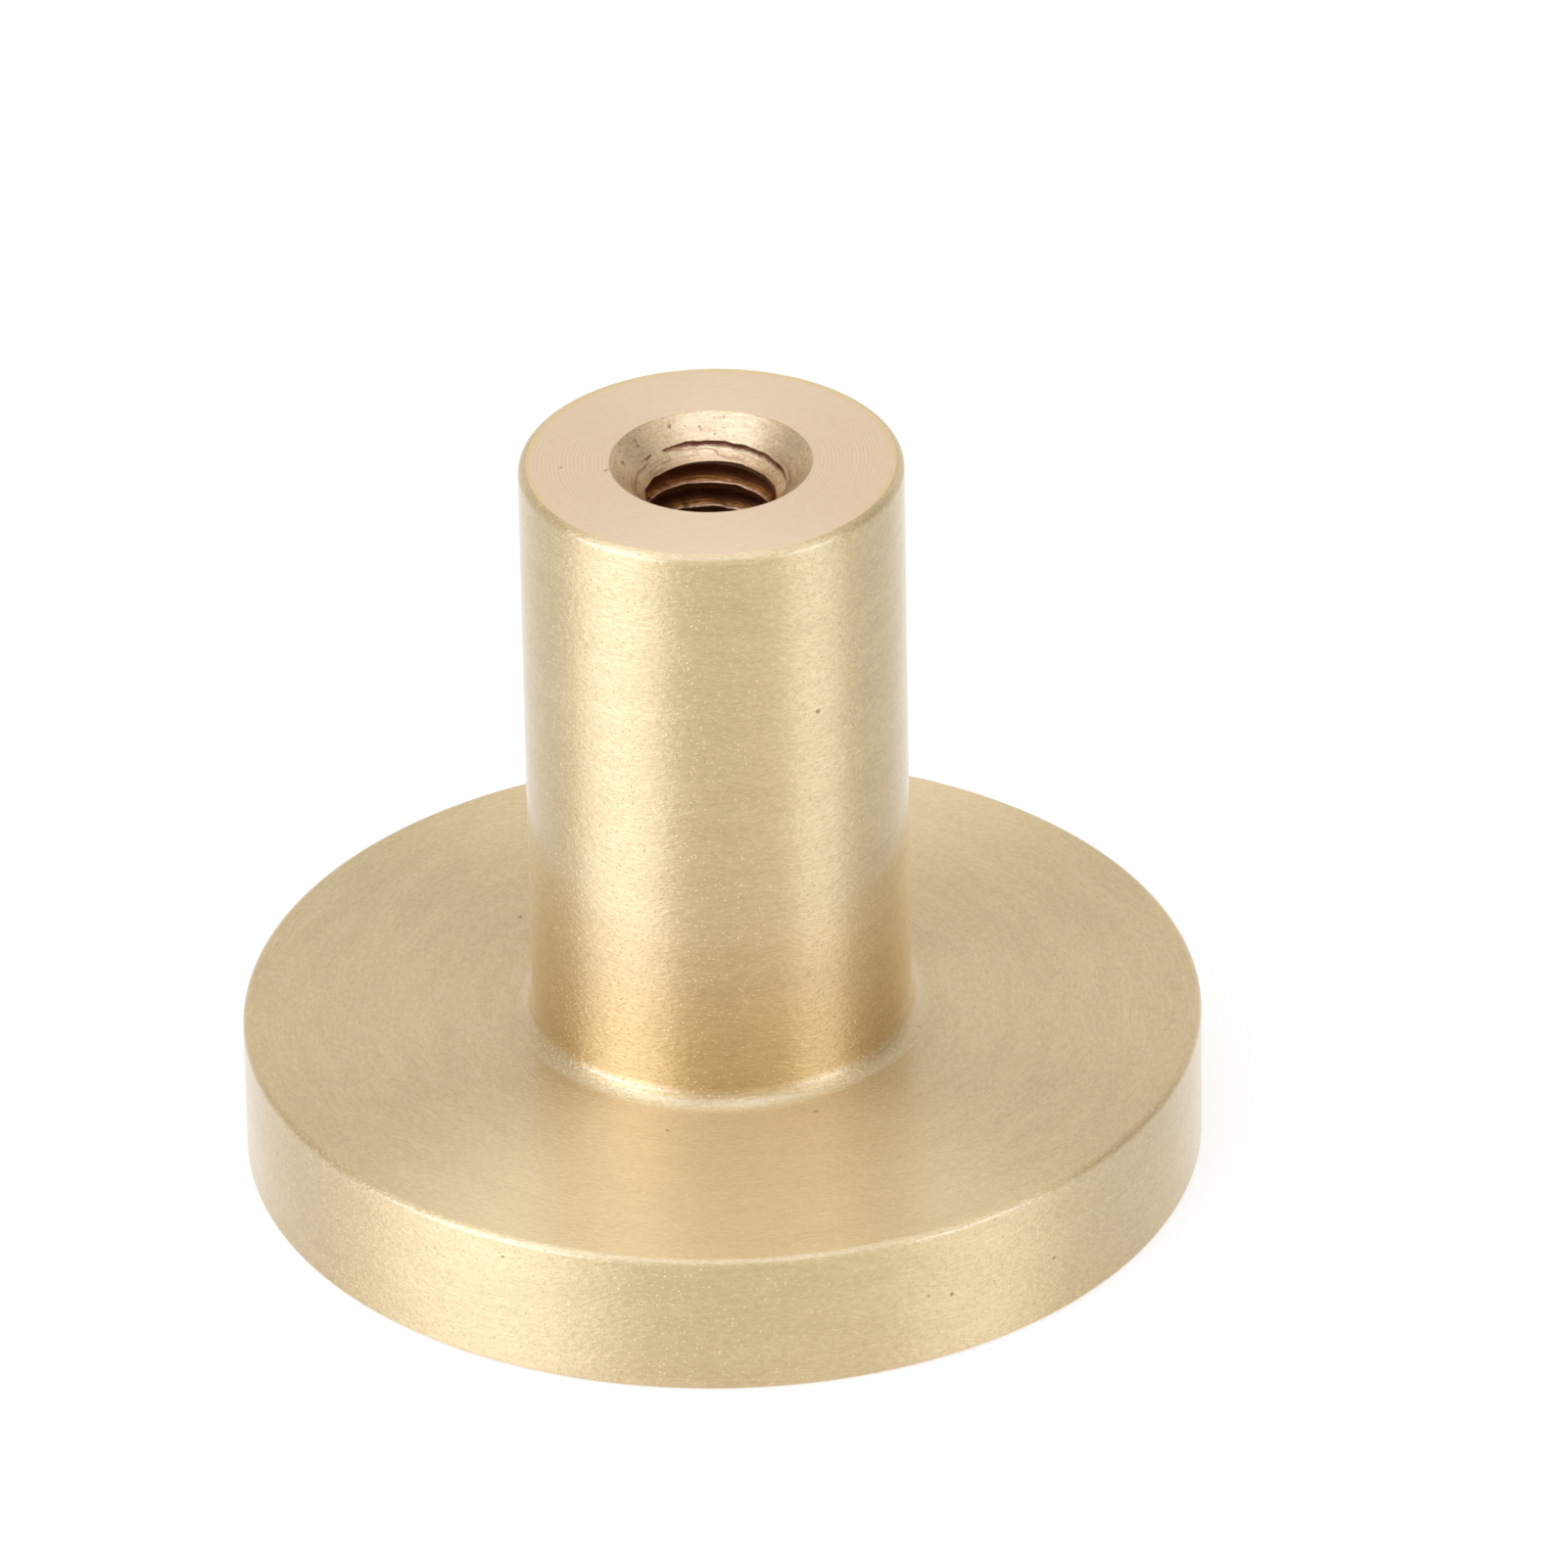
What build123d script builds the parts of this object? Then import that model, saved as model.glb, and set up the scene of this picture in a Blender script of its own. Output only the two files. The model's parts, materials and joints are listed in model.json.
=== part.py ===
"""Cabinet knob turned in one piece from solid brass bar.

A flat round head sits on a plain cylindrical stem. The stem's end is faced flat to seat on a door or a drawer
front, and it is drilled, countersunk and tapped for a machine screw that comes through from behind.

The origin is the centre of the head's flat front face, on which the loose knob stands. +Z runs along the turning
axis towards the stem's seating face. All sizes are in millimetres.
"""

import math
import os

from build123d import *

# Head, the flat disc that fingers pull on
head_diameter = 25.0
head_thickness = 3.9
front_rim_radius = 0.15
back_rim_radius = 0.2

# Stem, which holds the head off the door
stem_diameter = 9.9
stem_length = 16.3
root_fillet_radius = 0.5
seat_rim_radius = 0.25

# Screw hole for a coarse metric machine screw, blind from the seating face
thread_diameter = 4.0
thread_pitch = 0.7
hole_depth = 11.0
drill_point_angle = 118.0
countersink_diameter = 5.2
countersink_angle = 90.0

# Worked out from the sizes above
head_radius = head_diameter / 2
stem_radius = stem_diameter / 2
projection = head_thickness + stem_length
tap_drill_radius = (thread_diameter - thread_pitch) / 2
drill_point_height = tap_drill_radius / math.tan(math.radians(drill_point_angle / 2))

with BuildPart() as knob:
    # Half section of the bar after the roughing cuts, turned about the knob's axis
    with BuildSketch(Plane.XZ):
        with BuildLine():
            Polyline(
                (0, 0),
                (head_radius, 0),
                (head_radius, head_thickness),
                (stem_radius, head_thickness),
                (stem_radius, projection),
                (0, projection),
                close=True,
            )
        make_face()
    revolve(axis=Axis.Z)

    # Turned edges, from the front face up: front rim, back rim and root of the stem, seating rim
    turned_edges = knob.edges().filter_by(GeomType.CIRCLE)
    front_rim = turned_edges.group_by(Axis.Z)[0]
    stem_root, back_rim = turned_edges.group_by(Axis.Z)[1].sort_by(SortBy.RADIUS)
    seat_rim = turned_edges.group_by(Axis.Z)[-1]
    fillet(front_rim, front_rim_radius)
    fillet(back_rim, back_rim_radius)
    fillet(stem_root, root_fillet_radius)
    fillet(seat_rim, seat_rim_radius)

    # Tap-drill hole with its countersunk mouth
    seating_face = knob.faces().sort_by(Axis.Z)[-1]
    with Locations(Plane(seating_face.center(), z_dir=seating_face.normal_at())):
        CounterSinkHole(tap_drill_radius, countersink_diameter / 2, hole_depth, countersink_angle)

    # Cone that the drill's point leaves at the bottom of the hole
    with Locations(Plane(origin=(0, 0, projection - hole_depth), z_dir=(0, 0, -1))):
        Cone(
            tap_drill_radius,
            0,
            drill_point_height,
            align=(Align.CENTER, Align.CENTER, Align.MIN),
            mode=Mode.SUBTRACT,
        )

knob.part.label = "knob"

os.makedirs("parts", exist_ok=True)
export_step(knob.part, "parts/knob.step")
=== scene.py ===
"""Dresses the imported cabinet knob: brushed brass outside, a bare faced seating end and a tapped screw hole.

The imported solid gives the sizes. One mesh stands for it, with the same outline and with the screw thread
that the solid leaves out. Lengths in the dataclasses are in millimetres unless a name says otherwise. Every
mesh is in metres, in the knob's own frame: the front face lies at z = 0, and +Z runs up the stem.
"""

import json
import logging
import math
from dataclasses import dataclass, replace
from enum import Enum
from typing import Any, ClassVar, Iterable

import bmesh
import bpy
from mathutils import Matrix, Vector, noise


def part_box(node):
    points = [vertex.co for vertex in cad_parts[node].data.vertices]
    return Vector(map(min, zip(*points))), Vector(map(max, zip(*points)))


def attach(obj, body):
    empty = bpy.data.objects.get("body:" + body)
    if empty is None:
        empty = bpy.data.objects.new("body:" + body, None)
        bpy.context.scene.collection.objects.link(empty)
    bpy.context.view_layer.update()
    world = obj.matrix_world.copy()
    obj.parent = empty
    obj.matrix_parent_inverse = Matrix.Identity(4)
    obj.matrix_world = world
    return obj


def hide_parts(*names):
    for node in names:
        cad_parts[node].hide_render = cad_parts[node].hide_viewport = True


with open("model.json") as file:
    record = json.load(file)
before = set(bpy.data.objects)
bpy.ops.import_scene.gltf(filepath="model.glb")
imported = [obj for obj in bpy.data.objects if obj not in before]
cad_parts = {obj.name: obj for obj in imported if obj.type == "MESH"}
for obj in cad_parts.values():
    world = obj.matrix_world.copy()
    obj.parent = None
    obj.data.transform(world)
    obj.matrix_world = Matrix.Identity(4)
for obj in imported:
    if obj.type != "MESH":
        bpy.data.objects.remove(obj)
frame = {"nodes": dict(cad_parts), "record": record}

MM = 0.001
CAD_NODE = "knob"
BODY = "root"
WHITE = (1.0, 1.0, 1.0, 1.0)
QUARTER_TURN = 0.25
SMOOTH = {"interpolation_type": "SMOOTHSTEP"}
COLOURS = {"data_type": "RGBA"}
VALUES = {"data_type": "FLOAT"}
NOISE_SPAN = {"From Min": 0.3, "From Max": 0.7}
FALLING = {"To Min": 1.0, "To Max": 0.0}

Tree = bpy.types.NodeTree
Socket = bpy.types.NodeSocket
Source = bpy.types.Node | Socket | float | tuple | str

log = logging.getLogger("cabinet_knob")


def linear(hex_colour: str) -> tuple[float, float, float, float]:
    """Turn an sRGB hex colour into the linear values that a shader works in.

    Args:
        hex_colour: Six hex digits after a hash sign, such as "#C8B48B".

    Returns:
        Red, green, blue and an alpha of 1.
    """
    shares = [int(hex_colour[i:i + 2], 16) / 255 for i in (1, 3, 5)]
    red, green, blue = (
        share / 12.92 if share <= 0.04045 else ((share + 0.055) / 1.055) ** 2.4 for share in shares
    )
    return red, green, blue, 1.0


def add_node(
    tree: Tree,
    kind: str,
    settings: dict[str, Any] | str | None = None,
    links: dict[str | int, Source] | None = None,
) -> bpy.types.Node:
    """Add one shader node, with its settings and what goes into its sockets.

    Args:
        tree: The node tree that gets the node.
        kind: The node's type, without the words ShaderNode.
        settings: Properties of the node by name, or its operation alone.
        links: What each input socket gets, by the socket's name or number: a value, a colour as sRGB hex,
            another node's output, or a node, which stands for the first of its outputs that is in use.

    Returns:
        The new node.
    """
    node = tree.nodes.new("ShaderNode" + kind)
    if isinstance(settings, str):
        settings = {"operation": settings}
    for name, value in (settings or {}).items():
        setattr(node, name, value)
    for socket, value in (links or {}).items():
        if isinstance(value, bpy.types.Node):
            value = next(output for output in value.outputs if output.enabled)
        if isinstance(value, Socket):
            tree.links.new(value, node.inputs[socket])
        else:
            node.inputs[socket].default_value = linear(value) if isinstance(value, str) else value
    return node


def new_material(name: str) -> tuple[bpy.types.Material, Tree]:
    """Make a material with an empty node tree.

    Args:
        name: The material's name.

    Returns:
        The material and its node tree.
    """
    material = bpy.data.materials.new(name)
    material.use_nodes = True
    material.node_tree.nodes.clear()
    return material, material.node_tree


class Zone(Enum):
    """Surfaces that a maker finishes in different ways. The value is the mesh's material number."""

    BRUSHED = 0
    FACED = 1
    CUT = 2


@dataclass(frozen=True)
class Streaks:
    """Marks that a tool or an abrasive leaves round the turning axis.

    They are long along the circle and thin across it, on a cylinder, on a flat face and on a round.
    """

    length: float
    width: float
    detail: float = 2.0
    offset: float = 0.0

    def build(self, tree: Tree, turned: "TurnedCoordinates") -> Socket:
        """Add the nodes that draw the marks.

        Args:
            tree: The material's node tree.
            turned: The coordinates that follow the turned surface.

        Returns:
            A value from 0 to 1, about 0.5 on average.
        """
        place = add_node(tree, "CombineXYZ", links={
            0: turned.scaled(tree, turned.x, 1 / self.length),
            1: turned.scaled(tree, turned.y, 1 / self.length),
            2: turned.scaled(tree, turned.across, 1 / self.width),
        })
        shifted = add_node(tree, "VectorMath", "ADD", {0: place, 1: (self.offset,) * 3})
        cloud = add_node(tree, "TexNoise", links={"Vector": shifted, "Scale": 1.0, "Detail": self.detail})
        return cloud.outputs[0]


@dataclass
class TurnedCoordinates:
    """Coordinates on a turned piece, in millimetres, with the distance across its tool marks.

    The distance across the marks drifts a little from place to place, because the abrasive is held by hand.
    """

    drift_length: ClassVar[float] = 3.0
    drift_width: ClassVar[float] = 0.5

    x: Socket
    y: Socket
    radius: Socket
    height: Socket
    across: Socket
    point: Socket
    around: Socket

    @classmethod
    def build(cls, tree: Tree) -> "TurnedCoordinates":
        """Add the nodes that work the coordinates out from Object coordinates.

        Args:
            tree: The material's node tree.

        Returns:
            The coordinates' sockets.
        """
        place = add_node(tree, "TexCoord")
        point = add_node(tree, "VectorMath", "SCALE", {0: place.outputs["Object"], "Scale": 1 / MM})
        parts = add_node(tree, "SeparateXYZ", links={0: point})
        flat = add_node(tree, "CombineXYZ", links={0: parts.outputs[0], 1: parts.outputs[1]})
        radius = add_node(tree, "VectorMath", "LENGTH", {0: flat})
        drift = add_node(tree, "TexNoise", links={
            "Vector": point, "Scale": 1 / cls.drift_length, "Detail": 1.0,
        })
        straight = add_node(tree, "Math", "SUBTRACT", {0: radius, 1: parts.outputs[2]})
        across = add_node(tree, "Math", "MULTIPLY_ADD", {0: drift, 1: cls.drift_width, 2: straight})
        around = add_node(tree, "VectorMath", "CROSS_PRODUCT", {0: (0.0, 0.0, 1.0), 1: flat})
        around = add_node(tree, "VectorMath", "NORMALIZE", {0: around})
        return cls(
            x=parts.outputs[0],
            y=parts.outputs[1],
            radius=radius.outputs["Value"],
            height=parts.outputs[2],
            across=across.outputs[0],
            point=point.outputs[0],
            around=around.outputs[0],
        )

    def scaled(self, tree: Tree, socket: Socket, factor: float) -> Socket:
        """Multiply one coordinate by a factor and return the product's socket."""
        return add_node(tree, "Math", "MULTIPLY", {0: socket, 1: factor}).outputs[0]


@dataclass(frozen=True)
class Flaw:
    """A small fault in the surface: a dent, or a grain of metal left standing."""

    full_share: ClassVar[float] = 0.2
    reach_share: ClassVar[float] = 0.75

    turn_deg: float
    radius: float
    height: float
    size: float
    raised: bool = False

    def build(self, tree: Tree, uneven: Socket) -> Socket:
        """Add the nodes that mark the fault.

        Args:
            tree: The material's node tree.
            uneven: The place on the knob in millimetres, shifted a little so that faults aren't round.

        Returns:
            A value of 1 in the fault's middle and 0 outside it.
        """
        turn = math.radians(self.turn_deg)
        place = (self.radius * math.cos(turn), self.radius * math.sin(turn), self.height)
        away = add_node(tree, "VectorMath", "DISTANCE", {0: uneven, 1: place})
        return add_node(tree, "MapRange", SMOOTH, {
            "Value": away, "From Min": self.full_share * self.size,
            "From Max": self.reach_share * self.size, **FALLING,
        }).outputs[0]


@dataclass(frozen=True)
class Flaws:
    """The faults that one finish has."""

    faults: tuple[Flaw, ...]
    unevenness: float = 0.06
    dark_share: float = 0.6

    def total(self, tree: Tree, uneven: Socket, raised: bool) -> Source:
        """Add up the marks of the raised faults, or else those of the dents."""
        total: Source = 0.0
        for fault in self.faults:
            if fault.raised == raised:
                total = add_node(tree, "Math", {"operation": "ADD", "use_clamp": True}, {
                    0: total, 1: fault.build(tree, uneven),
                })
        return total

    def build(
        self,
        tree: Tree,
        turned: TurnedCoordinates,
        colour: Source,
        height: Source,
        dark_colour: str,
    ) -> tuple[Source, Source]:
        """Add the faults to a finish.

        Args:
            tree: The material's node tree.
            turned: The coordinates that follow the turned surface.
            colour: The finish's colour without faults.
            height: The finish's relief without faults.
            dark_colour: The colour in a dent, as sRGB hex.

        Returns:
            The colour and the relief with the faults.
        """
        wobble = add_node(tree, "TexNoise", links={
            "Vector": turned.point, "Scale": 1 / self.unevenness, "Detail": 0.0,
        })
        uneven = add_node(tree, "VectorMath", "MULTIPLY_ADD", {
            0: wobble.outputs["Color"], 1: (self.unevenness,) * 3, 2: turned.point,
        })
        centred = add_node(tree, "VectorMath", "SUBTRACT", {
            0: uneven, 1: (self.unevenness / 2,) * 3,
        }).outputs[0]
        dented = self.total(tree, centred, raised=False)
        raised = self.total(tree, centred, raised=True)
        share = add_node(tree, "Math", "MULTIPLY", {0: dented, 1: self.dark_share})
        marked = add_node(tree, "Mix", COLOURS, {0: share, 6: colour, 7: dark_colour})
        lifted = add_node(tree, "Math", "ADD", {0: height, 1: raised})
        relief = add_node(tree, "Math", "SUBTRACT", {0: lifted, 1: dented})
        return marked, relief


@dataclass(frozen=True)
class Lacquer:
    """A thin clear coat, which keeps the brushed brass bright and greys its far edges a little.

    It also carries a painted reflection: just above the root the stem is painted a deeper gold, as it looks
    where it mirrors the head's back face.
    """

    weight: float = 1.0
    roughness: float = 0.2
    # Painted reflection of the head's back face in the lower stem: its colour and where it lies.
    reflection_gold_colour: str = "#FBF1DE"
    reflection_radius: float = 5.1
    reflection_blend: float = 0.13
    reflection_foot: float = 2.0
    reflection_low: float = 4.6
    reflection_high: float = 10.0

    def paint_reflection(self, tree: Tree, turned: TurnedCoordinates, colour: Source) -> Socket:
        """Paint the stem a deeper gold just above the root, a painted reflection of the head's back face.

        Args:
            tree: The material's node tree.
            turned: The coordinates that follow the turned surface.
            colour: The metal's colour.

        Returns:
            The colour with the painted reflection.
        """
        # Painted reflection: the lower stem is darkened to a deeper gold, as where it mirrors the head's back
        # face.
        low = add_node(tree, "MapRange", SMOOTH, {
            "Value": turned.height, "From Min": self.reflection_low, "From Max": self.reflection_high, **FALLING,
        })
        on_stem = add_node(tree, "MapRange", SMOOTH, {
            "Value": turned.radius, "From Min": self.reflection_radius - self.reflection_blend,
            "From Max": self.reflection_radius, **FALLING,
        })
        lower_stem = add_node(tree, "Math", "MULTIPLY", {0: low, 1: on_stem})
        behind_head = add_node(tree, "Math", "GREATER_THAN", {0: turned.height, 1: self.reflection_foot})
        share = add_node(tree, "Math", "MULTIPLY", {0: lower_stem, 1: behind_head})
        return add_node(tree, "Mix", {**COLOURS, "blend_type": "MULTIPLY"}, {
            0: share, 6: colour, 7: self.reflection_gold_colour,
        }).outputs[2]


class Finish:
    """A finish of the knob's brass, with the nodes that every one of them ends in."""

    anisotropy: float
    mark_depth: float
    dent_colour: str
    flaws: Flaws

    def dress(
        self,
        tree: Tree,
        turned: TurnedCoordinates,
        colour: Source,
        height: Source,
        metal: dict[str, Source],
    ) -> None:
        """Add the faults, the relief and the metal's shader.

        Args:
            tree: The material's node tree.
            turned: The coordinates that follow the turned surface.
            colour: The finish's colour without faults.
            height: The finish's relief without faults.
            metal: What else the shader gets, such as its roughness, by the socket's name.
        """
        marked, relief = self.flaws.build(tree, turned, colour, height, self.dent_colour)
        bump = add_node(tree, "Bump", links={"Distance": self.mark_depth * MM, "Height": relief})
        shader = add_node(tree, "BsdfPrincipled", links={
            "Base Color": marked, "Metallic": 1.0, "Anisotropic": self.anisotropy,
            "Anisotropic Rotation": QUARTER_TURN, "Tangent": turned.around, "Normal": bump, **metal,
        })
        add_node(tree, "OutputMaterial", links={"Surface": shader})

    def build(self) -> bpy.types.Material:
        """Make the material."""
        raise NotImplementedError


@dataclass(frozen=True)
class BrushedBrass(Finish):
    """Satin brass, rubbed round its axis with fine abrasive while it turned, and then lacquered.

    The scratches run round the axis, so a light spreads along the stem and across the head in soft bands.
    Short light and dark marks and longer hairlines show within them, with a few bright grains. The metal is
    a gold with hardly any red in it, and the lacquer mirrors the white surroundings at the edges.
    """

    name: str = "satin_brass_brushed"
    light_colour: str = "#DEC595"
    dark_colour: str = "#CDB382"
    roughness: float = 0.48
    anisotropy: float = 0.92
    lacquer: Lacquer = Lacquer()
    marks: Streaks = Streaks(length=0.2, width=0.09)
    hairlines: Streaks = Streaks(length=0.9, width=0.05, offset=31.0)
    bands: Streaks = Streaks(length=2.5, width=0.6, offset=17.0)
    hairline_share: float = 0.3
    band_share: float = 0.25
    grain_size: float = 0.065
    grain_share: float = 0.35
    grain_range: tuple[float, float] = (0.68, 0.8)
    roughness_spread: float = 0.04
    mark_depth: float = 0.024
    dent_colour: str = "#6E5A34"
    flaws: Flaws = Flaws((
        Flaw(turn_deg=-58, radius=4.95, height=15.2, size=0.11),
        Flaw(turn_deg=140, radius=6.9, height=3.9, size=0.14),
        Flaw(turn_deg=-66, radius=5.9, height=3.9, size=0.13),
        Flaw(turn_deg=-103, radius=6.35, height=3.9, size=0.11),
        Flaw(turn_deg=-16, radius=5.3, height=3.9, size=0.14, raised=True),
        Flaw(turn_deg=-117, radius=12.5, height=3.3, size=0.07),
        Flaw(turn_deg=-47.5, radius=12.5, height=1.75, size=0.11),
        Flaw(turn_deg=-65.5, radius=12.5, height=2.05, size=0.07),
        Flaw(turn_deg=-62.5, radius=12.5, height=1.9, size=0.11),
        Flaw(turn_deg=-157.5, radius=12.5, height=2.55, size=0.1),
    ))

    def build(self) -> bpy.types.Material:
        """Make the material.

        Returns:
            The finished material.
        """
        material, tree = new_material(self.name)
        turned = TurnedCoordinates.build(tree)
        mark = self.marks.build(tree, turned)
        hairline = self.hairlines.build(tree, turned)
        band = self.bands.build(tree, turned)
        scratches = add_node(tree, "Mix", VALUES, {0: self.hairline_share, 2: mark, 3: hairline})
        grain = add_node(tree, "TexNoise", links={
            "Vector": turned.point, "Scale": 1 / self.grain_size, "Detail": 0.0,
        })
        bright = add_node(tree, "MapRange", links={
            "Value": grain, "From Min": self.grain_range[0], "From Max": self.grain_range[1],
        })
        mixed = add_node(tree, "Mix", VALUES, {0: self.band_share, 2: scratches, 3: band})
        contrast = add_node(tree, "MapRange", links={"Value": mixed, **NOISE_SPAN})
        share = add_node(tree, "Math", {"operation": "MULTIPLY_ADD", "use_clamp": True}, {
            0: bright, 1: self.grain_share, 2: contrast,
        })
        colour = add_node(tree, "Mix", COLOURS, {0: share, 6: self.dark_colour, 7: self.light_colour})
        roughness = add_node(tree, "MapRange", links={
            "Value": mixed, **NOISE_SPAN, "To Min": self.roughness + self.roughness_spread,
            "To Max": self.roughness - self.roughness_spread,
        })
        height = add_node(tree, "Math", "MULTIPLY_ADD", {0: bright, 1: self.grain_share, 2: scratches})
        # The lower stem gets a painted reflection of the head's back face.
        self.dress(tree, turned, self.lacquer.paint_reflection(tree, turned, colour), height, {
            "Roughness": roughness, "Coat Weight": self.lacquer.weight,
            "Coat Roughness": self.lacquer.roughness,
        })
        return material


@dataclass(frozen=True)
class FacedBrass(Finish):
    """Bare brass, faced flat with a lathe tool and left as cut.

    The tool's feed leaves fine rings about a tenth of a millimetre apart, deepest on two sides, where it
    chattered. The bare metal is paler and pinker than the rubbed outside. They meet in a soft, wavering
    line, a little off the centre.
    """

    name: str = "bare_brass_faced"
    light_colour: str = "#E4CCAE"
    dark_colour: str = "#D8BE9F"
    edge_colour: str = "#DCC494"
    roughness: float = 0.42
    anisotropy: float = 0.4
    feed: float = 0.104
    mark_depth: float = 0.006
    chatter_range: tuple[float, float] = (0.3, 0.58)
    ring_range: tuple[float, float] = (0.02, 0.32)
    edge_radius: float = 4.66
    edge_centre: tuple[float, float, float] = (0.0, -0.07, 20.2)
    edge_waver: float = 0.25
    edge_blend: float = 0.08
    dent_colour: str = "#8F7458"
    flaws: Flaws = Flaws((
        Flaw(turn_deg=-172, radius=2.7, height=20.2, size=0.13),
        Flaw(turn_deg=-177, radius=3.85, height=20.2, size=0.1),
    ))
    grain: Streaks = Streaks(length=0.3, width=0.07, detail=3.0, offset=5.0)
    patches: Streaks = Streaks(length=1.5, width=0.45, detail=1.0, offset=11.0)
    waver: Streaks = Streaks(length=1.1, width=1.1, detail=3.0, offset=23.0)

    def build(self) -> bpy.types.Material:
        """Make the material.

        Returns:
            The finished material.
        """
        material, tree = new_material(self.name)
        turned = TurnedCoordinates.build(tree)
        grain = self.grain.build(tree, turned)
        patch = self.patches.build(tree, turned)
        ring = add_node(tree, "Math", "SINE", {
            0: turned.scaled(tree, turned.radius, 2 * math.pi / self.feed),
        })
        sideways = add_node(tree, "Math", "DIVIDE", {0: turned.x, 1: turned.radius})
        chatter = add_node(tree, "Math", "MULTIPLY", {0: sideways, 1: sideways})
        uneven = add_node(tree, "Math", "MULTIPLY", {0: chatter, 1: patch})
        strength = add_node(tree, "MapRange", links={
            "Value": uneven, "From Min": self.chatter_range[0], "From Max": self.chatter_range[1],
            "To Min": self.ring_range[0], "To Max": self.ring_range[1],
        })
        height = add_node(tree, "Math", "MULTIPLY_ADD", {0: ring, 1: strength, 2: grain})
        bare = add_node(tree, "Mix", COLOURS, {0: height, 6: self.dark_colour, 7: self.light_colour})
        reach = add_node(tree, "VectorMath", "DISTANCE", {0: turned.point, 1: self.edge_centre})
        border = add_node(tree, "Math", "MULTIPLY_ADD", {
            0: self.waver.build(tree, turned), 1: self.edge_waver, 2: reach,
        })
        rubbed = add_node(tree, "MapRange", SMOOTH, {
            "Value": border,
            "From Min": self.edge_radius + self.edge_waver / 2 - self.edge_blend,
            "From Max": self.edge_radius + self.edge_waver / 2 + self.edge_blend,
        })
        colour = add_node(tree, "Mix", COLOURS, {0: rubbed, 6: bare, 7: self.edge_colour})
        self.dress(tree, turned, colour, height, {"Roughness": self.roughness})
        return material


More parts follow.
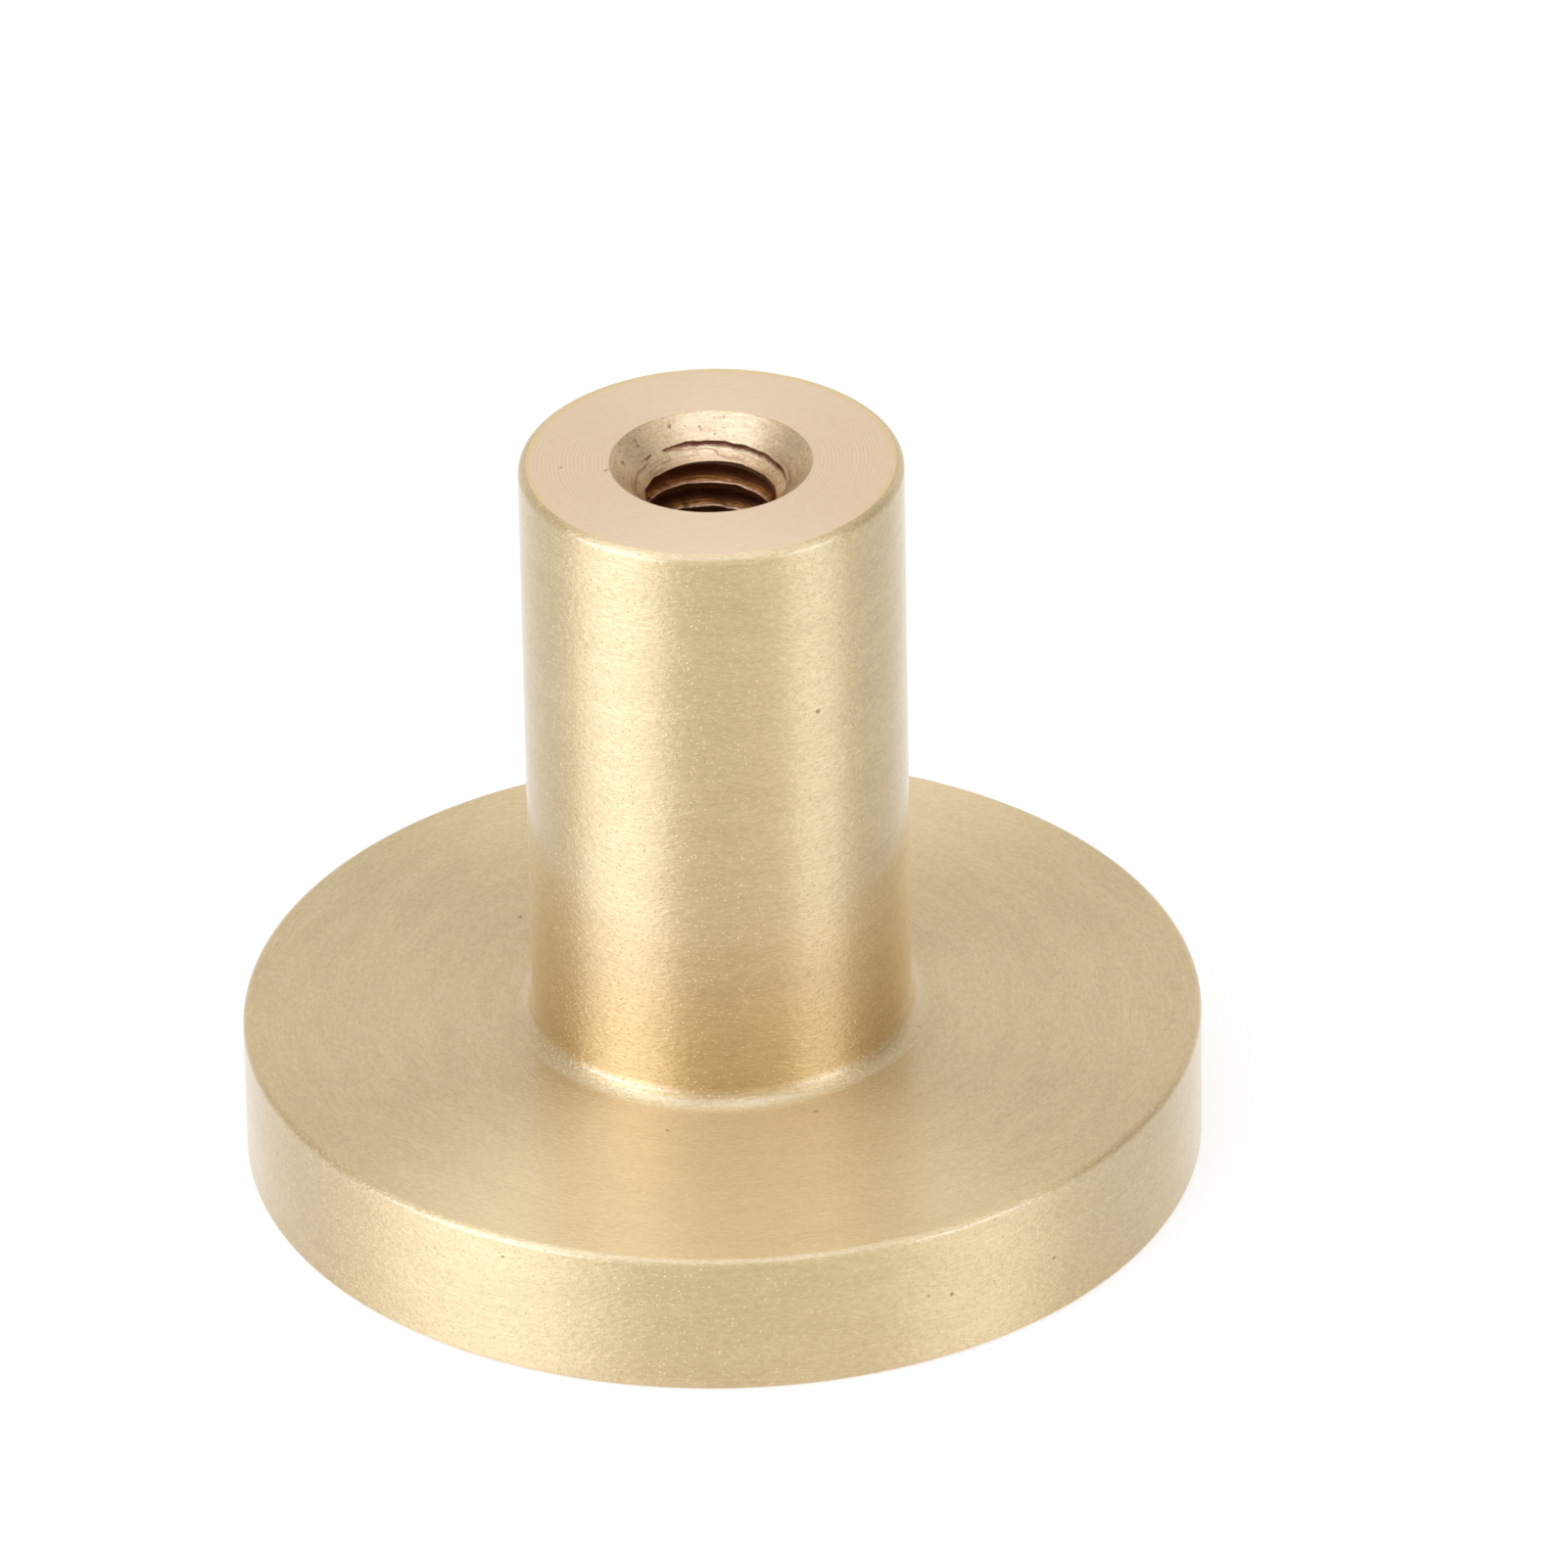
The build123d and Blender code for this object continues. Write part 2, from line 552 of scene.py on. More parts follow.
@dataclass(frozen=True)
class CutBrass(Finish):
    """Bare brass in the screw hole, cut with a countersink, a drill and a tap.

    The countersink leaves a bright cone with small torn spots, and a few dark lines low down, where the tap
    entered. The groove is bright where it runs out into the cone, with a dark burr along its edge and a
    painted shadow, a dark line, at its root. Further down the flanks and the bore between the turns are
    painted a darker red brown, a painted shade of the light that falls in the hole from flank to flank, and
    the groove's edges carry a pale, pinkish painted highlight.
    """

    bore_radius: float
    sink_radius: float
    groove_radius: float
    height: float
    name: str = "bare_brass_cut"
    light_colour: str = "#D9C19B"
    dark_colour: str = "#BA9F79"
    upper_flank_light: str = "#E8D4AE"
    upper_flank_dark: str = "#B4926A"
    burr_colour: str = "#8E6040"
    # Painted shade: the flanks' colours deeper in the hole; the upper flanks keep paler metal colours.
    shaded_flank_light: str = "#C48446"
    shaded_flank_dark: str = "#7A471F"
    # Painted shadow along the groove's root.
    root_shadow_colour: str = "#7A3E1C"
    # Painted highlight on the groove's edges deeper in the hole.
    lip_highlight_colour: str = "#C4A286"
    # Painted shade on the bore between the turns, deeper in the hole.
    shaded_crest_colour: str = "#84522A"
    root_shadow_width: float = 0.08
    root_margin: float = 0.02
    root_shadow_share: float = 0.9
    root_shadow_spread: float = 0.14
    crest_shade_share: float = 0.85
    burr_width: float = 0.05
    shine_width: float = 0.1
    lip_start: float = 0.01
    lip_share: float = 0.8
    groove_edge: tuple[float, float] = (0.004, 0.015)
    groove_relief: float = 1.5
    speck_size: float = 0.1
    speck_range: tuple[float, float] = (0.74, 0.82)
    speck_share: float = 0.5
    entry_radius: float = 2.0
    entry_blend: float = 0.1
    entry_range: tuple[float, float] = (0.52, 0.62)
    entry_share: float = 0.6
    torn_share: float = 0.5
    tear: float = 0.12
    # Painted shade begins this far below the top of the hole and is full this far down.
    shade_top: float = 0.75
    shade_full: float = 1.25
    root_metallic: float = 0.45
    roughness: float = 0.38
    anisotropy: float = 0.3
    mark_depth: float = 0.006
    dent_colour: str = "#5B4128"
    flaws: Flaws = Flaws((
        Flaw(turn_deg=116, radius=2.4, height=20.0, size=0.12),
        Flaw(turn_deg=97, radius=2.3, height=19.9, size=0.08),
        Flaw(turn_deg=144, radius=2.3, height=19.9, size=0.12),
        Flaw(turn_deg=168, radius=2.3, height=19.9, size=0.13),
        Flaw(turn_deg=43, radius=2.25, height=19.85, size=0.12, raised=True),
        Flaw(turn_deg=30, radius=2.45, height=20.05, size=0.1, raised=True),
    ))
    grain: Streaks = Streaks(length=0.5, width=0.05, detail=3.0, offset=9.0)
    torn: Streaks = Streaks(length=0.1, width=0.08, offset=41.0)
    entry: Streaks = Streaks(length=1.4, width=0.07, offset=57.0)

    def depth_in_wall(self, tree: Tree, turned: TurnedCoordinates) -> Socket:
        """Add the nodes that measure how deep a point lies in the tap's groove, in millimetres."""
        cone = add_node(tree, "Math", "ADD", {0: turned.height, 1: self.sink_radius - self.height})
        wall = add_node(tree, "Math", "MAXIMUM", {0: cone, 1: self.bore_radius})
        return add_node(tree, "Math", "SUBTRACT", {0: turned.radius, 1: wall}).outputs[0]

    def build(self) -> bpy.types.Material:
        """Make the material.

        Returns:
            The finished material.
        """
        material, tree = new_material(self.name)
        turned = TurnedCoordinates.build(tree)
        on_cone = replace(turned, across=turned.radius)
        grain = self.grain.build(tree, on_cone)
        torn = self.torn.build(tree, on_cone)
        depth = self.depth_in_wall(tree, turned)
        # Painted shade: deeper in the hole the flanks, crests and root line turn a darker red brown.
        depth_shade = add_node(tree, "MapRange", links={
            "Value": turned.height, "From Min": self.height - self.shade_full,
            "From Max": self.height - self.shade_top, **FALLING,
        }).outputs[0]
        mottle = add_node(tree, "Mix", VALUES, {0: self.torn_share, 2: grain, 3: torn})
        contrast = add_node(tree, "MapRange", links={"Value": mottle, **NOISE_SPAN})
        uneven = add_node(tree, "Math", "MULTIPLY_ADD", {0: torn, 1: self.tear, 2: turned.radius})
        # Painted shadow: a dark line along the groove's root, wider deeper down in the hole.
        reach = add_node(tree, "Math", "MULTIPLY_ADD", {0: depth_shade, 1: self.root_shadow_spread, 2: uneven})
        full = self.groove_radius + self.tear / 2 - self.root_margin
        root_shadow_band = add_node(tree, "MapRange", SMOOTH, {
            "Value": reach, "From Min": full - self.root_shadow_width, "From Max": full, "To Max": self.root_shadow_share,
        })
        upper_flank = add_node(tree, "Mix", COLOURS, {0: contrast, 6: self.upper_flank_dark, 7: self.upper_flank_light})
        shaded_flank = add_node(tree, "Mix", COLOURS, {0: contrast, 6: self.shaded_flank_dark, 7: self.shaded_flank_light})
        flank = add_node(tree, "Mix", COLOURS, {0: depth_shade, 6: upper_flank, 7: shaded_flank})
        groove = add_node(tree, "Mix", COLOURS, {0: root_shadow_band, 6: flank, 7: self.root_shadow_colour})
        # The groove's edge: a real dark burr near the top, and deeper down a pale painted highlight.
        burr_and_highlight = add_node(tree, "Mix", COLOURS, {0: depth_shade, 6: self.burr_colour, 7: self.lip_highlight_colour})
        lip_width = add_node(tree, "MapRange", links={
            "Value": depth_shade, "To Min": self.burr_width, "To Max": self.shine_width,
        })
        on_lip = add_node(tree, "MapRange", SMOOTH, {
            "Value": depth, "From Min": self.lip_start, "From Max": lip_width,
            "To Min": self.lip_share, "To Max": 0.0,
        })
        edged = add_node(tree, "Mix", COLOURS, {0: on_lip, 6: groove, 7: burr_and_highlight})
        spots = add_node(tree, "TexNoise", links={
            "Vector": turned.point, "Scale": 1 / self.speck_size, "Detail": 0.0,
        })
        specks = add_node(tree, "MapRange", links={
            "Value": spots, "From Min": self.speck_range[0], "From Max": self.speck_range[1],
            "To Max": self.speck_share,
        })
        wall = add_node(tree, "Mix", COLOURS, {0: contrast, 6: self.dark_colour, 7: self.light_colour})
        specked = add_node(tree, "Mix", COLOURS, {0: specks, 6: wall, 7: self.dent_colour})
        near_entry = add_node(tree, "MapRange", links={
            "Value": turned.radius, "From Min": self.entry_radius,
            "From Max": self.entry_radius + self.entry_blend, **FALLING,
        })
        lines = add_node(tree, "MapRange", links={
            "Value": self.entry.build(tree, on_cone), "From Min": self.entry_range[0],
            "From Max": self.entry_range[1], "To Max": self.entry_share,
        })
        scored = add_node(tree, "Math", "MULTIPLY", {0: near_entry, 1: lines})
        entered = add_node(tree, "Mix", COLOURS, {0: scored, 6: specked, 7: self.burr_colour})
        # Painted shade on the bore between the turns, deeper in the hole.
        crest_shade = add_node(tree, "Math", "MULTIPLY", {0: depth_shade, 1: self.crest_shade_share})
        crest = add_node(tree, "Mix", COLOURS, {0: crest_shade, 6: entered, 7: self.shaded_crest_colour})
        inside = add_node(tree, "MapRange", links={
            "Value": depth, "From Min": self.groove_edge[0], "From Max": self.groove_edge[1],
        })
        colour = add_node(tree, "Mix", COLOURS, {0: inside, 6: crest, 7: edged})
        dull = add_node(tree, "Math", "MULTIPLY", {0: inside, 1: root_shadow_band})
        metallic = add_node(tree, "MapRange", links={
            "Value": dull, "To Min": 1.0, "To Max": self.root_metallic,
        })
        rough_cut = add_node(tree, "Math", "MULTIPLY_ADD", {0: inside, 1: self.groove_relief, 2: 1.0})
        height = add_node(tree, "Math", "MULTIPLY", {0: mottle, 1: rough_cut})
        self.dress(tree, turned, colour, height, {"Metallic": metallic, "Roughness": self.roughness})
        return material


def mesh_object(name: str, shape: bmesh.types.BMesh) -> bpy.types.Object:
    """Turn a finished shape into an object in the scene.

    Args:
        name: The object's name.
        shape: The shape, which is freed.

    Returns:
        The new object, which stands at the origin.
    """
    mesh = bpy.data.meshes.new(name)
    shape.to_mesh(mesh)
    shape.free()
    piece = bpy.data.objects.new(name, mesh)
    bpy.context.scene.collection.objects.link(piece)
    return piece


@dataclass
class TurnedBlank:
    """The knob as it leaves the lathe, drilled and countersunk, before its thread is cut."""

    head_share: ClassVar[float] = 1.5
    tolerance: ClassVar[float] = 0.01
    level_tolerance: ClassVar[float] = 0.0025
    level_normal: ClassVar[float] = 0.9
    merge_metres: ClassVar[float] = 1e-7

    head_radius: float
    head_thickness: float
    stem_radius: float
    height: float
    bore_radius: float
    bore_depth: float
    front_rim_round: float = 0.15
    back_rim_round: float = 0.2
    root_round: float = 0.5
    seat_rim_round: float = 0.25
    sink_radius: float = 2.6
    sink_rim_round: float = 0.04
    sink_angle_deg: float = 90.0
    drill_point_deg: float = 118.0
    steps_round: int = 256
    round_segments: int = 8

    @classmethod
    def from_frame(cls, node: bpy.types.Object, record: dict[str, Any]) -> "TurnedBlank":
        """Read the knob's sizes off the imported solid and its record.

        Args:
            node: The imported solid's object.
            record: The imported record.

        Returns:
            A blank with those sizes.
        """
        _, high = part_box(node.name)
        rings = [(math.hypot(v.co.x, v.co.y) / MM, v.co.z / MM) for v in node.data.vertices]
        height = high.z / MM
        stem_radius = max(radius for radius, z in rings if z > height / 2)
        head_thickness = max(z for radius, z in rings if radius > cls.head_share * stem_radius)
        hole = next(m for m in record["mounts"] if m["kind"] == "threaded_hole")
        bore_radius = hole["dims"]["r_mm"]
        bore_low = min(z for radius, z in rings if abs(radius - bore_radius) < cls.tolerance)
        return cls(
            head_radius=high.x / MM,
            head_thickness=head_thickness,
            stem_radius=stem_radius,
            height=height,
            bore_radius=bore_radius,
            bore_depth=height - bore_low,
        )

    @property
    def sink_depth(self) -> float:
        """Depth of the countersink below the seating face."""
        return (self.sink_radius - self.bore_radius) / math.tan(math.radians(self.sink_angle_deg / 2))

    def build(self) -> bmesh.types.BMesh:
        """Draw half of the section, round its corners and turn it about the axis.

        Returns:
            The closed shape, in metres.
        """
        bore_floor = self.height - self.bore_depth
        drill_point = bore_floor - self.bore_radius / math.tan(math.radians(self.drill_point_deg / 2))
        corners = [
            (0.0, 0.0, 0.0),
            (self.head_radius, 0.0, self.front_rim_round),
            (self.head_radius, self.head_thickness, self.back_rim_round),
            (self.stem_radius, self.head_thickness, self.root_round),
            (self.stem_radius, self.height, self.seat_rim_round),
            (self.sink_radius, self.height, self.sink_rim_round),
            (self.bore_radius, self.height - self.sink_depth, 0.0),
            (self.bore_radius, bore_floor, 0.0),
            (0.0, drill_point, 0.0),
        ]
        shape = bmesh.new()
        points = [shape.verts.new((radius * MM, 0.0, z * MM)) for radius, z, _ in corners]
        section = shape.faces.new(points)
        axis_edge = shape.edges.get((points[0], points[-1]))
        for point, (_, _, rounding) in zip(points, corners):
            if rounding:
                bmesh.ops.bevel(
                    shape, geom=[point], offset=rounding * MM, offset_type="OFFSET",
                    segments=self.round_segments, profile=0.5, affect="VERTICES", material=-1,
                )
        bmesh.ops.delete(shape, geom=shape.faces[:], context="FACES_ONLY")
        bmesh.ops.delete(shape, geom=[axis_edge], context="EDGES")
        bmesh.ops.spin(
            shape, geom=shape.verts[:] + shape.edges[:], cent=(0, 0, 0), axis=(0, 0, 1),
            angle=2 * math.pi, steps=self.steps_round, use_merge=True,
        )
        bmesh.ops.remove_doubles(shape, verts=shape.verts[:], dist=self.merge_metres)
        bmesh.ops.recalc_face_normals(shape, faces=shape.faces[:])
        for face in shape.faces:
            face.material_index = self.zone(face).value
        return shape

    def zone(self, face: bmesh.types.BMFace) -> Zone:
        """Say which finish a face of the blank gets.

        Args:
            face: One face of the turned shape.

        Returns:
            The face's zone.
        """
        centre = face.calc_center_median() / MM
        radius = math.hypot(centre.x, centre.y)
        if radius < self.sink_radius and centre.z > self.head_thickness:
            return Zone.CUT
        if centre.z > self.height - self.level_tolerance and face.normal.z > self.level_normal:
            return Zone.FACED
        return Zone.BRUSHED


@dataclass
class ScrewThread:
    """The groove that a tap cuts in the bore: a coarse metric thread, right-handed.

    Its section is a 60 degree V with a small flat at its root, and it starts inside the open bore. The tap
    has torn the soft brass a little, so its flanks and edges are uneven.
    """

    height: float
    major_radius: float = 2.05
    pitch: float = 0.7
    flank_deg: float = 30.0
    root_flat_share: float = 0.125
    inner_radius: float = 1.5
    turns: int = 13
    back_groove_depth: float = 0.62
    steps_per_turn: int = 144
    flank_steps: int = 3
    tear_size: float = 0.4
    tear_depth: float = 0.035
    tear_octaves: int = 3
    tear_seed: int = 7

    def build(self) -> bmesh.types.BMesh:
        """Draw the groove's section behind the axis and wind it up the hole.

        Returns:
            The closed helical ridge that is cut away, in metres.
        """
        half_root = self.root_flat_share * self.pitch / 2
        rise_out = math.tan(math.radians(self.flank_deg))
        half_mouth = half_root + (self.major_radius - self.inner_radius) * rise_out
        start = self.height - self.back_groove_depth - (self.turns - 1) * self.pitch
        shares = [step / self.flank_steps for step in range(self.flank_steps + 1)]
        lower = [
            (self.inner_radius + (self.major_radius - self.inner_radius) * share,
             -half_mouth + (half_mouth - half_root) * share)
            for share in shares
        ]
        section = lower + [(radius, -rise) for radius, rise in reversed(lower)]
        ridge = bmesh.new()
        points = [ridge.verts.new((0.0, radius * MM, (start + rise) * MM)) for radius, rise in section]
        ridge.faces.new(points)
        steps = self.turns * self.steps_per_turn
        bmesh.ops.spin(
            ridge, geom=ridge.verts[:] + ridge.edges[:] + ridge.faces[:], cent=(0, 0, 0), axis=(0, 0, 1),
            dvec=(0, 0, self.pitch / self.steps_per_turn * MM), angle=self.turns * 2 * math.pi, steps=steps,
        )
        noise.seed_set(self.tear_seed)
        for vert in ridge.verts:
            place = vert.co / (self.tear_size * MM)
            vert.co += noise.turbulence_vector(place, self.tear_octaves, False) * self.tear_depth * MM
        bmesh.ops.recalc_face_normals(ridge, faces=ridge.faces[:])
        for face in ridge.faces:
            face.material_index = Zone.CUT.value
        return ridge


@dataclass
class Knob:
    """The whole knob: the turned blank with its thread, in its three finishes."""

    blank: TurnedBlank
    thread: ScrewThread
    sharp_angle_deg: float = 25.0
    flat_weight: int = 100
    smallest_edge_metres: float = 1e-8

    @property
    def finishes(self) -> dict[Zone, Finish]:
        """The finish of each zone."""
        return {
            Zone.BRUSHED: BrushedBrass(),
            Zone.FACED: FacedBrass(),
            Zone.CUT: CutBrass(
                self.blank.bore_radius, self.blank.sink_radius, self.thread.major_radius, self.blank.height
            ),
        }

    def build(self) -> bpy.types.Object:
        """Make the knob's mesh, cut its thread and dress it.

        Returns:
            The finished piece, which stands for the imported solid.
        """
        piece = mesh_object("knob_dressed", self.blank.build())
        cutter = mesh_object("thread_cutter", self.thread.build())
        finishes = self.finishes
        materials = [finishes[zone].build() for zone in Zone]
        for item in (piece, cutter):
            for material in materials:
                item.data.materials.append(material)
        self.cut(piece, cutter)
        self.shade(piece)
        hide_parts(CAD_NODE)
        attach(piece, BODY)
        return piece

    def cut(self, piece: bpy.types.Object, cutter: bpy.types.Object) -> None:
        """Cut one object out of another and delete the cutter.

        Args:
            piece: The object that is cut.
            cutter: The object that is taken away.
        """
        boolean = piece.modifiers.new("thread", "BOOLEAN")
        boolean.operation = "DIFFERENCE"
        boolean.solver = "EXACT"
        boolean.object = cutter
        bpy.context.view_layer.update()
        result = bpy.data.meshes.new_from_object(piece.evaluated_get(bpy.context.evaluated_depsgraph_get()))
        piece.modifiers.clear()
        old = piece.data
        piece.data = result
        result.name = old.name
        bpy.data.meshes.remove(old)
        bpy.data.objects.remove(cutter)

    def shade(self, piece: bpy.types.Object) -> None:
        """Shade the rounds smooth and keep the tool's sharp edges.

        Args:
            piece: The knob after its thread is cut.
        """
        shape = bmesh.new()
        shape.from_mesh(piece.data)
        bmesh.ops.dissolve_degenerate(shape, edges=shape.edges[:], dist=self.smallest_edge_metres)
        for face in shape.faces:
            face.smooth = True
        limit = math.radians(self.sharp_angle_deg)
        for edge in shape.edges:
            edge.smooth = edge.is_manifold and edge.calc_face_angle() < limit
        open_edges = sum(not edge.is_manifold for edge in shape.edges)
        log.info("knob mesh: %d faces, %d open edges", len(shape.faces), open_edges)
        shape.to_mesh(piece.data)
        shape.free()
        weighted = piece.modifiers.new("flat_faces", "WEIGHTED_NORMAL")
        weighted.mode = "FACE_AREA"
        weighted.weight = self.flat_weight
        weighted.keep_sharp = True


def outward(azimuth_deg: float, elevation_deg: float) -> Vector:
    """Turn two angles into a direction.

    Args:
        azimuth_deg: Angle round the knob from the camera's side, positive to the right.
        elevation_deg: Angle above the floor.

    Returns:
        A vector of length 1 that points away from the knob.
    """
    azimuth, elevation = math.radians(azimuth_deg), math.radians(elevation_deg)
    return Vector((
        math.sin(azimuth) * math.cos(elevation),
        -math.cos(azimuth) * math.cos(elevation),
        math.sin(elevation),
    ))


@dataclass(frozen=True)
class Lamp:
    """A soft box: a rectangle that shines at the knob from a direction and a distance."""

    name: str
    azimuth_deg: float
    elevation_deg: float
    width: float
    tall: float
    radiance: float
    colour: str = "#C9DBFF"
    distance: float = 600.0

    def build(self, target: Vector) -> bpy.types.Object:
        """Put the lamp in the scene.

        Args:
            target: The point that the lamp faces, in metres.

        Returns:
            The lamp's object.
        """
        light = bpy.data.lights.new(self.name, "AREA")
        light.shape = "RECTANGLE"
        light.size = self.width * MM
        light.size_y = self.tall * MM
        light.color = linear(self.colour)[:3]
        light.energy = self.radiance * math.pi * self.width * self.tall * MM * MM
        lamp = bpy.data.objects.new(self.name, light)
        way = outward(self.azimuth_deg, self.elevation_deg)
        lamp.matrix_world = (
            Matrix.Translation(target + way * self.distance * MM)
            @ way.to_track_quat("Z", "Y").to_matrix().to_4x4()
        )
        bpy.context.scene.collection.objects.link(lamp)
        return lamp


@dataclass(frozen=True)
class Board:
    """A bright board on the floor beside the knob, as the knob's sides mirror it.

    Only reflections show it: it casts no shadow and throws no light on the floor.
    """

    name: str
    azimuth_deg: float
    spread_deg: float
    glow: float
    near: float = 17.0
    far: float = 160.0
    lift: float = 0.05
    steps: int = 16
    colour: str = "#F0F5FF"

    def build(self) -> bpy.types.Object:
        """Lay the board down.

        Returns:
            The board's object.
        """
        shape = bmesh.new()
        start = outward(self.azimuth_deg - self.spread_deg / 2, 0.0)
        lift = Vector((0, 0, self.lift))
        ends = [shape.verts.new((start * reach + lift) * MM) for reach in (self.near, self.far)]
        edge = shape.edges.new(ends)
        bmesh.ops.spin(
            shape, geom=[*ends, edge], cent=(0, 0, 0), axis=(0, 0, 1),
            angle=math.radians(self.spread_deg), steps=self.steps,
        )
        bmesh.ops.recalc_face_normals(shape, faces=shape.faces[:])
        board = mesh_object(self.name, shape)
        material, tree = new_material(self.name)
        material.cycles.emission_sampling = "NONE"
        light = add_node(tree, "Emission", links={"Color": self.colour, "Strength": self.glow})
        add_node(tree, "OutputMaterial", links={"Surface": light})
        board.data.materials.append(material)
        board.visible_camera = board.visible_diffuse = board.visible_shadow = False
        return board


@dataclass(frozen=True)
class Viewpoint:
    """The camera's place, as it stood when the knob was photographed. It looks along +Y and down."""

    lens_mm: float = 363.72
    sensor_mm: float = 36.0
    elevation_deg: float = 31.12
    roll_deg: float = -1.03
    distance: float = 410.05
    aim_height: float = 10.0
    aim_right: float = 1.7172
    aim_up: float = 0.4429
    clip_from_metres: float = 0.01
    clip_to_metres: float = 50.0

    def build(self) -> bpy.types.Object:
        """Put the camera in the scene and make it the scene's camera.

        Returns:
            The camera's object.
        """
        data = bpy.data.cameras.new("camera")
        data.sensor_fit = "HORIZONTAL"
        data.sensor_width = self.sensor_mm
        data.lens = self.lens_mm
        data.clip_start = self.clip_from_metres
        data.clip_end = self.clip_to_metres
        camera = bpy.data.objects.new("camera", data)
        tilt, roll = math.radians(90 - self.elevation_deg), math.radians(self.roll_deg)
        facing = Matrix.Rotation(tilt, 4, "X")
        offset = facing @ Vector((self.aim_right, self.aim_up, self.distance)) * MM
        place = Vector((0, 0, self.aim_height * MM)) + offset
        camera.matrix_world = Matrix.Translation(place) @ facing @ Matrix.Rotation(roll, 4, "Z")
        bpy.context.scene.collection.objects.link(camera)
        bpy.context.scene.camera = camera
        return camera


@dataclass(frozen=True)
class Gap:
    """A dim stretch of the white tent round the knob, as between two sheets of paper."""

    azimuth_deg: float
    elevation_deg: float
    inner_deg: float
    outer_deg: float
    level: float

    def build(self, tree: Tree, towards: Socket) -> Socket:
        """Add the nodes that dim the tent there.

        Args:
            tree: The world's node tree.
            towards: The direction in which the tent is seen.

        Returns:
            A value of 1 outside the gap and of its level in its middle.
        """
        near = add_node(tree, "VectorMath", "DOT_PRODUCT", {
            0: towards, 1: tuple(outward(self.azimuth_deg, self.elevation_deg)),
        })
        return add_node(tree, "MapRange", SMOOTH, {
            "Value": near,
            "From Min": math.cos(math.radians(self.outer_deg)),
            "From Max": math.cos(math.radians(self.inner_deg)),
            "To Min": 1.0,
            "To Max": self.level,
        }).outputs[0]


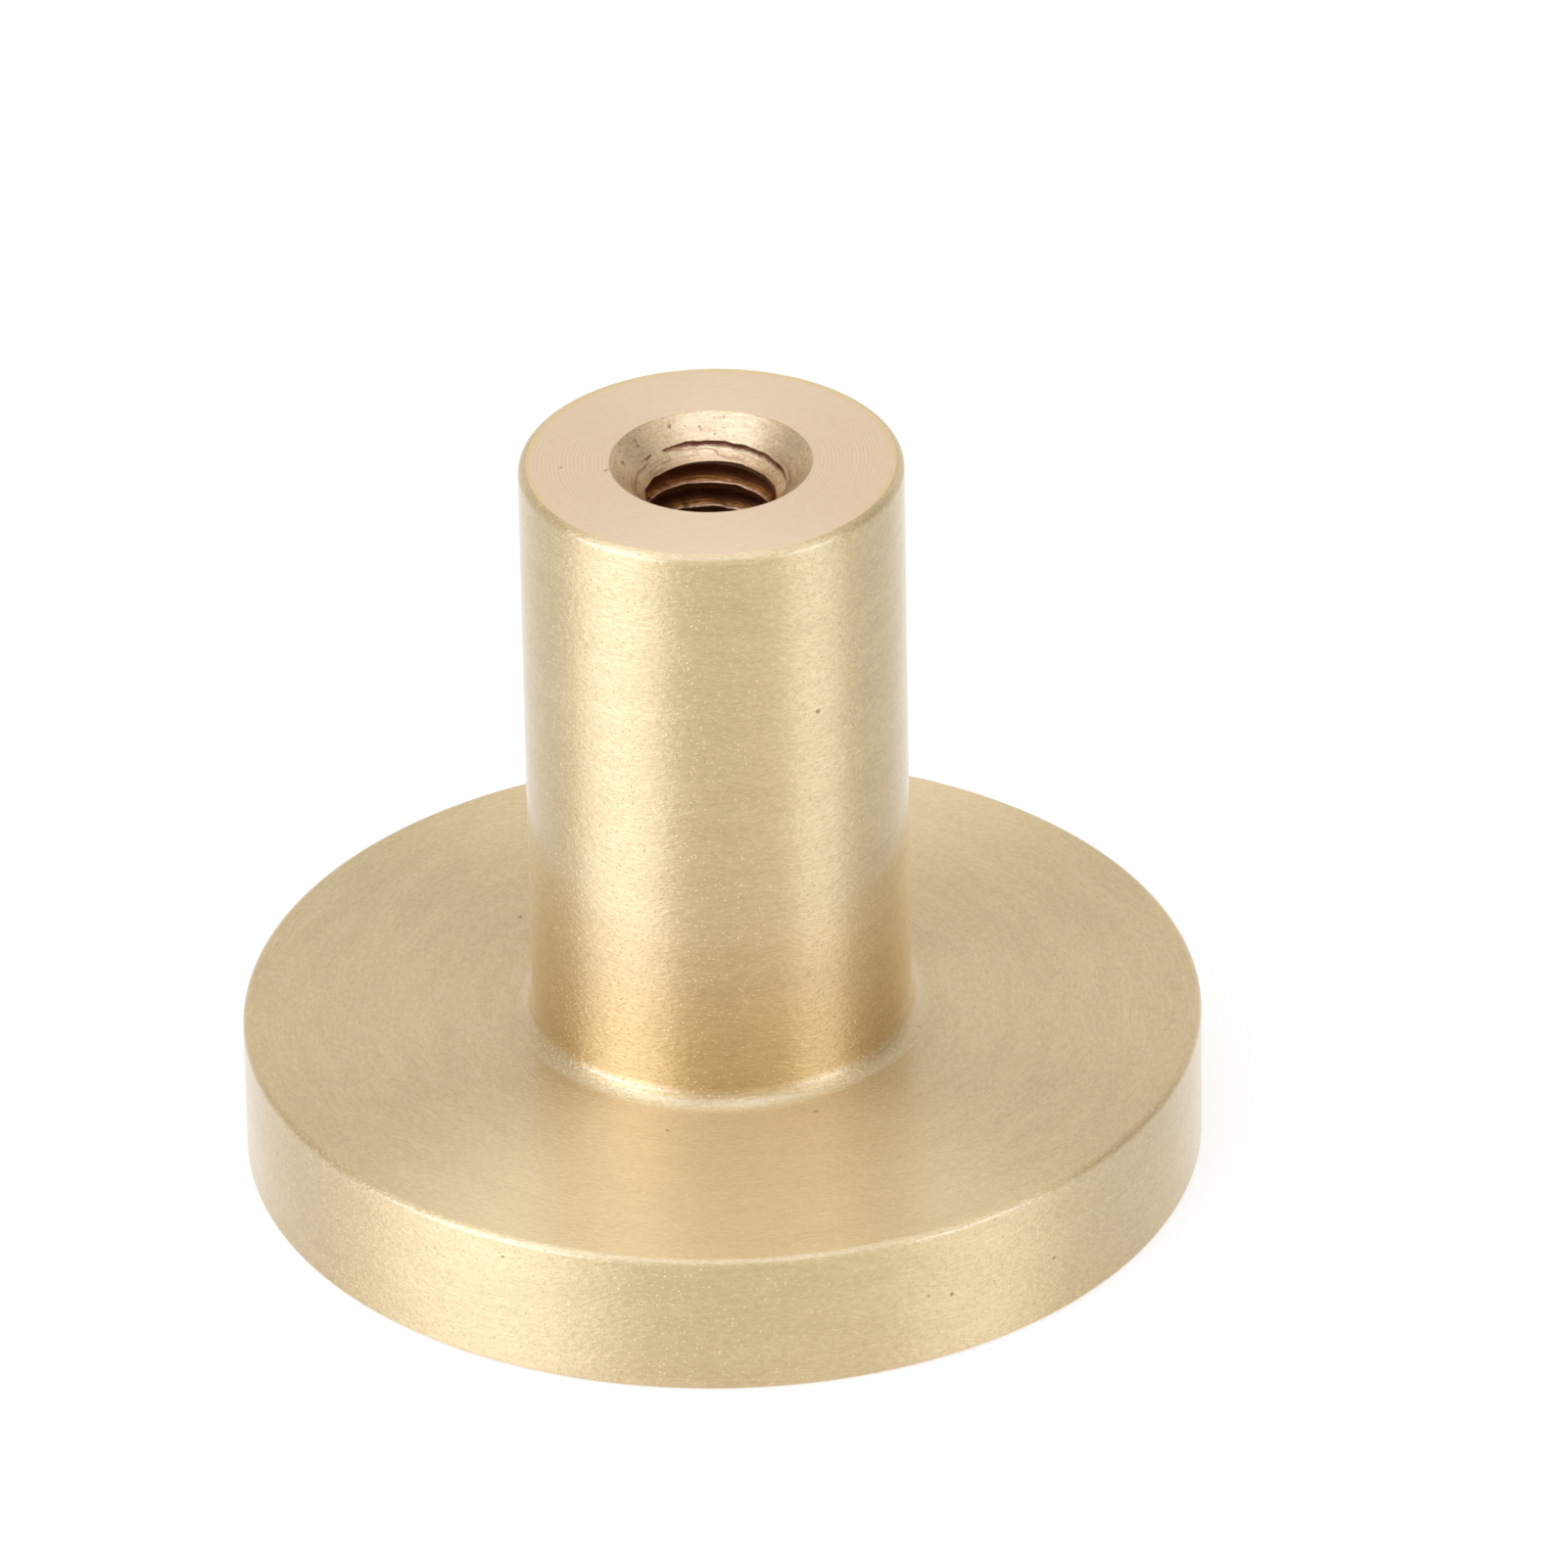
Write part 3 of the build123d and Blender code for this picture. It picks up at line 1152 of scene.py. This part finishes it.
@dataclass
class Studio:
    """A pale floor and plain soft light, with a white background."""

    floor_radius: float = 4000.0
    floor_segments: int = 64
    floor_colour: str = "#B6AD9E"
    floor_drop: float = 0.02
    floor_glow: float = 0.7
    far_glow: float = 0.86
    far_from: float = 350.0
    far_to: float = 650.0
    glow_colour: str = "#F8FCFF"
    world_level: float = 0.45
    mirrored_level: float = 1.0
    target_height: float = 10.0
    lamps: tuple[Lamp, ...] = (
        Lamp("strip_left", azimuth_deg=-56, elevation_deg=9, width=620, tall=150, radiance=7.9),
        Lamp("soft_box_left", azimuth_deg=-58, elevation_deg=30, width=270, tall=600, radiance=2.1),
        Lamp("strip_right", azimuth_deg=57, elevation_deg=12, width=320, tall=190, radiance=5.9),
        Lamp("overhead", azimuth_deg=0, elevation_deg=68, width=620, tall=420, radiance=1.9),
        Lamp("behind", azimuth_deg=180, elevation_deg=72, width=260, tall=420, radiance=1.0),
    )
    boards: tuple[Board, ...] = (
        Board("board_left", azimuth_deg=-54, spread_deg=50, glow=1.49),
        Board("board_right", azimuth_deg=61, spread_deg=34, glow=1.35),
    )
    gaps: tuple[Gap, ...] = (
        Gap(azimuth_deg=-117, elevation_deg=23, inner_deg=8, outer_deg=26, level=0.66),
        Gap(azimuth_deg=107, elevation_deg=21, inner_deg=9, outer_deg=29, level=0.45),
        Gap(azimuth_deg=0, elevation_deg=20, inner_deg=8, outer_deg=26, level=0.7),
    )

    def build(self) -> Iterable[bpy.types.Object]:
        """Make the floor, the world, the lamps and the boards.

        Returns:
            Everything that was made, apart from the world.
        """
        self.make_world()
        target = Vector((0, 0, self.target_height * MM))
        lamps = [lamp.build(target) for lamp in self.lamps]
        return [self.make_floor(), *lamps, *(board.build() for board in self.boards)]

    def seen_directly(self, tree: Tree) -> Socket:
        """Add the nodes that tell the camera's own rays and mirrored ones from rays that light a surface.

        Args:
            tree: The world's or a material's node tree.

        Returns:
            A value of 1 where the background is seen, directly or in a reflection, and 0 elsewhere.
        """
        path = add_node(tree, "LightPath")
        total = add_node(tree, "Math", "ADD", {
            0: path.outputs["Is Camera Ray"], 1: path.outputs["Is Glossy Ray"],
        })
        return add_node(tree, "Math", {"operation": "ADD", "use_clamp": True}, {
            0: total, 1: path.outputs["Is Transmission Ray"],
        }).outputs[0]

    def make_world(self) -> None:
        """Surround the scene with even light, which the camera and the metal see as white."""
        world = bpy.data.worlds.new("studio")
        bpy.context.scene.world = world
        world.cycles.sampling_method = "NONE"
        world.use_nodes = True
        tree = world.node_tree
        tree.nodes.clear()
        path = add_node(tree, "LightPath")
        towards = add_node(tree, "TexCoord").outputs["Generated"]
        level: Source = self.mirrored_level
        for gap in self.gaps:
            level = add_node(tree, "Math", "MULTIPLY", {0: gap.build(tree, towards), 1: level})
        mirrored = add_node(tree, "Background", links={"Color": WHITE, "Strength": level})
        plain = add_node(tree, "Background", links={"Color": WHITE, "Strength": self.world_level})
        white = add_node(tree, "Background", links={"Color": WHITE, "Strength": 1.0})
        met = add_node(tree, "MixShader", links={0: path.outputs["Is Glossy Ray"], 1: plain, 2: mirrored})
        seen = add_node(tree, "Math", {"operation": "ADD", "use_clamp": True}, {
            0: path.outputs["Is Camera Ray"], 1: path.outputs["Is Transmission Ray"],
        })
        both = add_node(tree, "MixShader", links={0: seen, 1: met, 2: white})
        add_node(tree, "OutputWorld", links={"Surface": both})

    def make_floor(self) -> bpy.types.Object:
        """Make the floor, a wide disc that is white where no shadow falls.

        It lies a hair under the knob and is clear from below, so that the front face shows from there.

        Returns:
            The floor's object.
        """
        shape = bmesh.new()
        bmesh.ops.create_circle(
            shape, cap_ends=True, radius=self.floor_radius * MM, segments=self.floor_segments,
            matrix=Matrix.Translation((0, 0, -self.floor_drop * MM)),
        )
        shape.normal_update()
        bmesh.ops.reverse_faces(shape, faces=[face for face in shape.faces if face.normal.z < 0])
        floor = mesh_object("floor", shape)
        material, tree = new_material("floor_paper")
        material.cycles.emission_sampling = "NONE"
        paper = add_node(tree, "BsdfDiffuse", links={"Color": self.floor_colour})
        place = add_node(tree, "TexCoord").outputs["Object"]
        away = add_node(tree, "VectorMath", "LENGTH", {0: place})
        level = add_node(tree, "MapRange", links={
            "Value": away, "From Min": self.far_from * MM, "From Max": self.far_to * MM,
            "To Min": self.floor_glow, "To Max": self.far_glow,
        })
        glow = add_node(tree, "Math", "MULTIPLY", {0: self.seen_directly(tree), 1: level})
        light = add_node(tree, "Emission", links={"Color": self.glow_colour, "Strength": glow})
        above = add_node(tree, "AddShader", links={0: paper, 1: light})
        below = add_node(tree, "BsdfTransparent")
        both = add_node(tree, "MixShader", links={
            0: add_node(tree, "NewGeometry").outputs["Backfacing"], 1: above, 2: below,
        })
        add_node(tree, "OutputMaterial", links={"Surface": both})
        floor.data.materials.append(material)
        return floor


def main() -> None:
    """Build the knob, the studio and the camera."""
    logging.basicConfig(level=logging.INFO, format="%(name)s: %(message)s")
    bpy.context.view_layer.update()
    blank = TurnedBlank.from_frame(frame["nodes"][CAD_NODE], frame["record"])
    log.info("sizes from the frame: %s", blank)
    thread = ScrewThread(height=blank.height)
    knob = Knob(blank, thread).build()
    log.info("built %s", knob.name)
    for item in Studio().build():
        log.info("studio: %s", item.name)
    log.info("studio: %s", Viewpoint().build().name)
    bpy.context.scene.view_settings.view_transform = "Standard"


if __name__ == "__main__":
    main()
